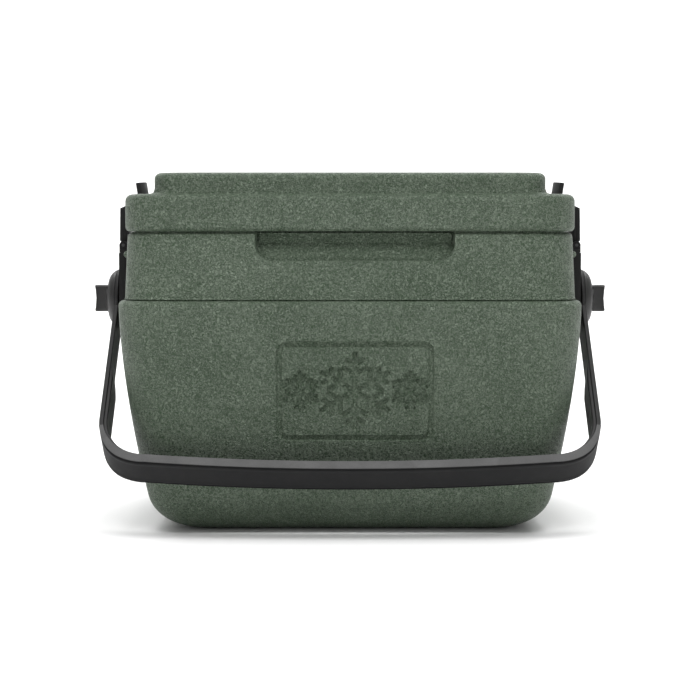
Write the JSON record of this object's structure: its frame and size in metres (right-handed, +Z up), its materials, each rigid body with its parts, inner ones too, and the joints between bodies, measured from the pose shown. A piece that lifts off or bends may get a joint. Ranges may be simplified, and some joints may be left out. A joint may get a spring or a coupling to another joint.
{
  "type": "personal hard cooler",
  "caption": "Insulated hard cooler box with a raised hinged lid, a swing carry handle turning on side hubs, and a latch at each end.",
  "frame": {"origin": "centre of the body's base, on the surface that the cooler stands on", "axes": "+Z up; front, with the finger recess and the hanging handle, towards -Y; +X to the right seen from the front"},
  "size_m": [0.543, 0.3473, 0.3615],
  "materials": {
    "green_coat": "sprayed coat with a wrinkled leather-like grain, slight sheen",
    "insulation": "closed-cell foam",
    "liner": "smooth moulded",
    "black_nylon": "moulded, fine satin",
    "grip_rubber": "soft overmould, matt",
    "seal_rubber": "matt",
    "bush_plastic": "smooth",
    "steel": "brushed stainless",
    "brass": "turned"
  },
  "bodies": {
    "body": {"body_shell": "green_coat", "body_foam": "insulation", "body_liner": "liner", "side_bracket_left": "black_nylon", "side_bracket_right": "black_nylon", "bracket_screws_left": "steel", "bracket_screws_right": "steel", "bracket_inserts_left": "brass", "bracket_inserts_right": "brass", "axle_insert_left": "brass", "axle_insert_right": "brass", "pivot_axle_left": "steel", "pivot_axle_right": "steel", "knob_screw_left": "steel", "knob_screw_right": "steel", "latch_pin_left": "steel", "latch_pin_right": "steel", "hinge_leaf_body_left": "black_nylon", "hinge_leaf_body_right": "black_nylon", "hinge_pin_left": "steel", "hinge_pin_right": "steel", "hinge_screws_body": "steel"},
    "lid": {"lid_shell": "green_coat", "lid_foam": "insulation", "lid_liner": "liner", "lid_gasket": "seal_rubber", "hinge_leaf_lid_left": "black_nylon", "hinge_leaf_lid_right": "black_nylon", "hinge_screws_lid": "steel"},
    "latch_l": {"latch_left": "black_nylon", "latch_lip_left": "seal_rubber"},
    "latch_r": {"latch_right": "black_nylon", "latch_lip_right": "seal_rubber"},
    "handle": {"handle_frame": "black_nylon", "handle_grip": "grip_rubber", "hub_cap_left": "black_nylon", "hub_cap_right": "black_nylon", "pivot_bush_left": "bush_plastic", "pivot_bush_right": "bush_plastic"},
    "knob_l": {"knob_left": "black_nylon"},
    "knob_r": {"knob_right": "black_nylon"}
  },
  "joints": [
    {"name": "lid_hinge", "type": "hinge", "parent": "body", "child": "lid", "pos_m": [0, 0.16, 0.3005], "axis": [-1, 0, 0], "range_deg": [0, 95], "deforming": ["latch_lip_left", "latch_lip_right"]},
    {"name": "handle_swing", "type": "hinge", "parent": "body", "child": "handle", "pos_m": [0, 0, 0.2305], "axis": [-1, 0, 0], "range_deg": [0, 270]},
    {"name": "latch_left_hinge", "type": "hinge", "parent": "body", "child": "latch_l", "pos_m": [-0.2375, 0, 0.287], "axis": [0, -1, 0], "range_deg": [0, 105]},
    {"name": "latch_right_hinge", "type": "hinge", "parent": "body", "child": "latch_r", "pos_m": [0.2375, 0, 0.287], "axis": [0, 1, 0], "range_deg": [0, 105]},
    {"name": "knob_left_turn", "type": "hinge", "parent": "body", "child": "knob_l", "pos_m": [-0.2565, 0, 0.2305], "axis": [-1, 0, 0], "range_deg": [0, 90]},
    {"name": "knob_right_turn", "type": "hinge", "parent": "body", "child": "knob_r", "pos_m": [0.2565, 0, 0.2305], "axis": [1, 0, 0], "range_deg": [0, 90]}
  ]
}
